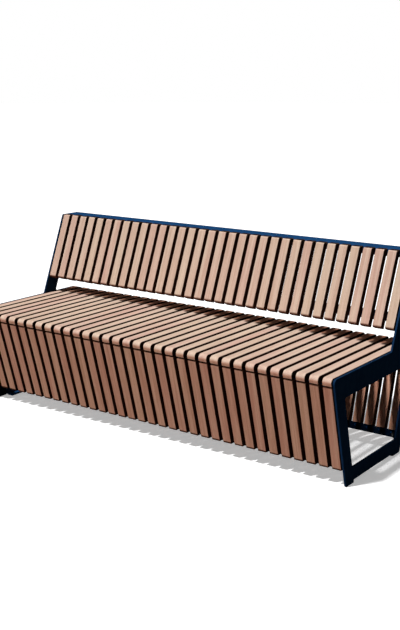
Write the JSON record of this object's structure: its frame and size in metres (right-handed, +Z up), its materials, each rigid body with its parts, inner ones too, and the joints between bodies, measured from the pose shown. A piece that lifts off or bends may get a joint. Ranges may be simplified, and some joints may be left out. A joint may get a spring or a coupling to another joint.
{
  "type": "bench with backrest",
  "caption": "Slatted timber street bench with a reclined backrest and inward-leaning skirts, held between two flat steel side frames with open windows and floor anchor lugs.",
  "frame": {"origin": "on the floor, at the middle of the bench's box", "axes": "+X along the bench, +Y towards the back, +Z up"},
  "size_m": [1.88, 0.7286, 0.824],
  "materials": {
    "timber": "oiled hardwood, pale pinkish brown, fine straight grain along each slat",
    "powder_coat": "satin deep navy powder coat with a fine texture",
    "zinc_plate": "black zinc plated"
  },
  "bodies": {
    "root": {"left_side_frame": "powder_coat", "right_side_frame": "powder_coat", "seat_slat_01": "timber", "seat_slat_02": "timber", "seat_slat_03": "timber", "seat_slat_04": "timber", "seat_slat_05": "timber", "seat_slat_06": "timber", "seat_slat_07": "timber", "seat_slat_08": "timber", "seat_slat_09": "timber", "seat_slat_10": "timber", "seat_slat_11": "timber", "seat_slat_12": "timber", "seat_slat_13": "timber", "seat_slat_14": "timber", "seat_slat_15": "timber", "seat_slat_16": "timber", "seat_slat_17": "timber", "seat_slat_18": "timber", "seat_slat_19": "timber", "seat_slat_20": "timber", "seat_slat_21": "timber", "seat_slat_22": "timber", "seat_slat_23": "timber", "seat_slat_24": "timber", "seat_slat_25": "timber", "seat_slat_26": "timber", "seat_slat_27": "timber", "seat_slat_28": "timber", "seat_slat_29": "timber", "seat_slat_30": "timber", "seat_slat_31": "timber", "seat_slat_32": "timber", "seat_slat_33": "timber", "seat_slat_34": "timber", "backrest_slats": "timber", "front_skirt_slats": "timber", "rear_skirt_slats": "timber", "backrest_top_rail": "powder_coat", "backrest_lower_rail": "powder_coat", "front_corner_beam": "powder_coat", "rear_corner_beam": "powder_coat", "front_skirt_rail": "powder_coat", "rear_skirt_rail": "powder_coat", "left_weld_studs": "zinc_plate", "left_nuts": "zinc_plate", "right_weld_studs": "zinc_plate", "right_nuts": "zinc_plate", "front_left_anchor_lug": "powder_coat", "front_right_anchor_lug": "powder_coat", "rear_left_anchor_lug": "powder_coat", "rear_right_anchor_lug": "powder_coat"}
  },
  "joints": []
}
